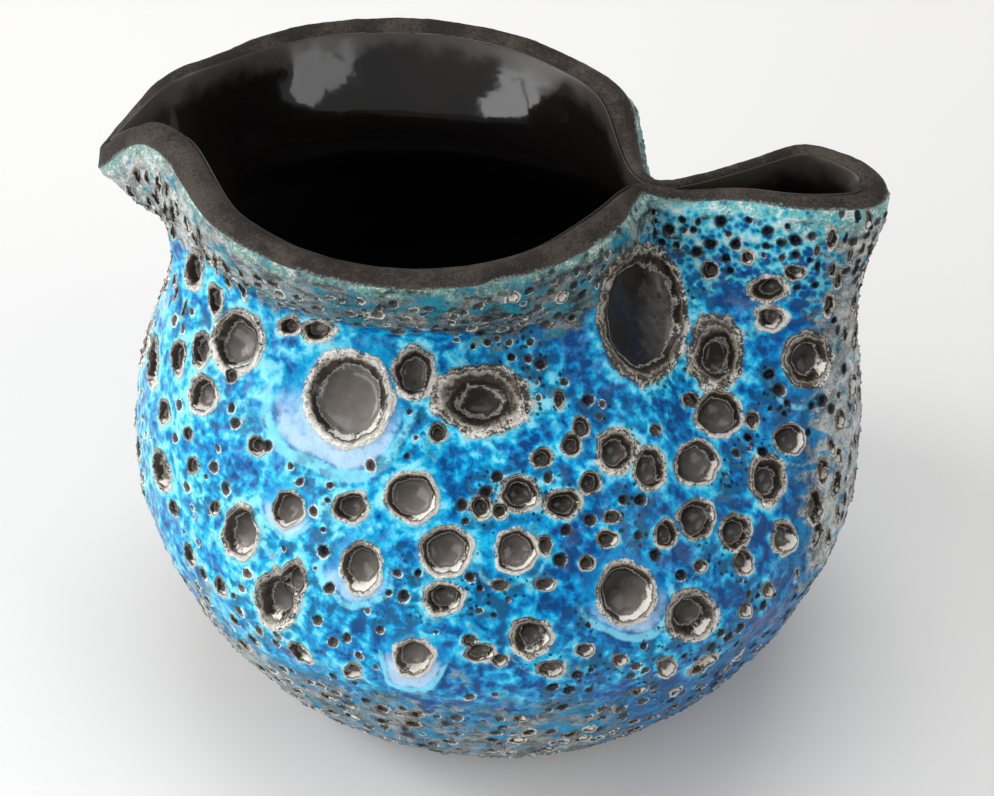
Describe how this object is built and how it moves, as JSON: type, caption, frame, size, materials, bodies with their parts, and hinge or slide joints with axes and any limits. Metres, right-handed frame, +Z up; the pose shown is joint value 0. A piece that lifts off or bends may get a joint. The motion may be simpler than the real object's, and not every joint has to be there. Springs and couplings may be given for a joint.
{
  "type": "milk jug",
  "caption": "Round-bellied pottery milk jug with a drawn pouring lip, a hollow handle pinched from the wall, a thick crater glaze outside and a glossy dark liner inside.",
  "frame": {"origin": "middle of the foot ring, on the surface that the jug stands on", "axes": "+Z up; +X from the pouring lip towards the handle; the handle's pinch lies in the XZ plane"},
  "size_m": [0.124, 0.1196, 0.1007],
  "materials": {
    "clay": "bare fired clay, matt",
    "slip": "dry dark brown slip, matt",
    "crater_glaze": "thick mottled blue crater glaze",
    "liner": "glossy black liner glaze"
  },
  "bodies": {
    "root": {"clay_body": "clay", "base_slip": "slip", "lava_glaze": "crater_glaze", "liner_glaze": "liner"}
  },
  "joints": []
}
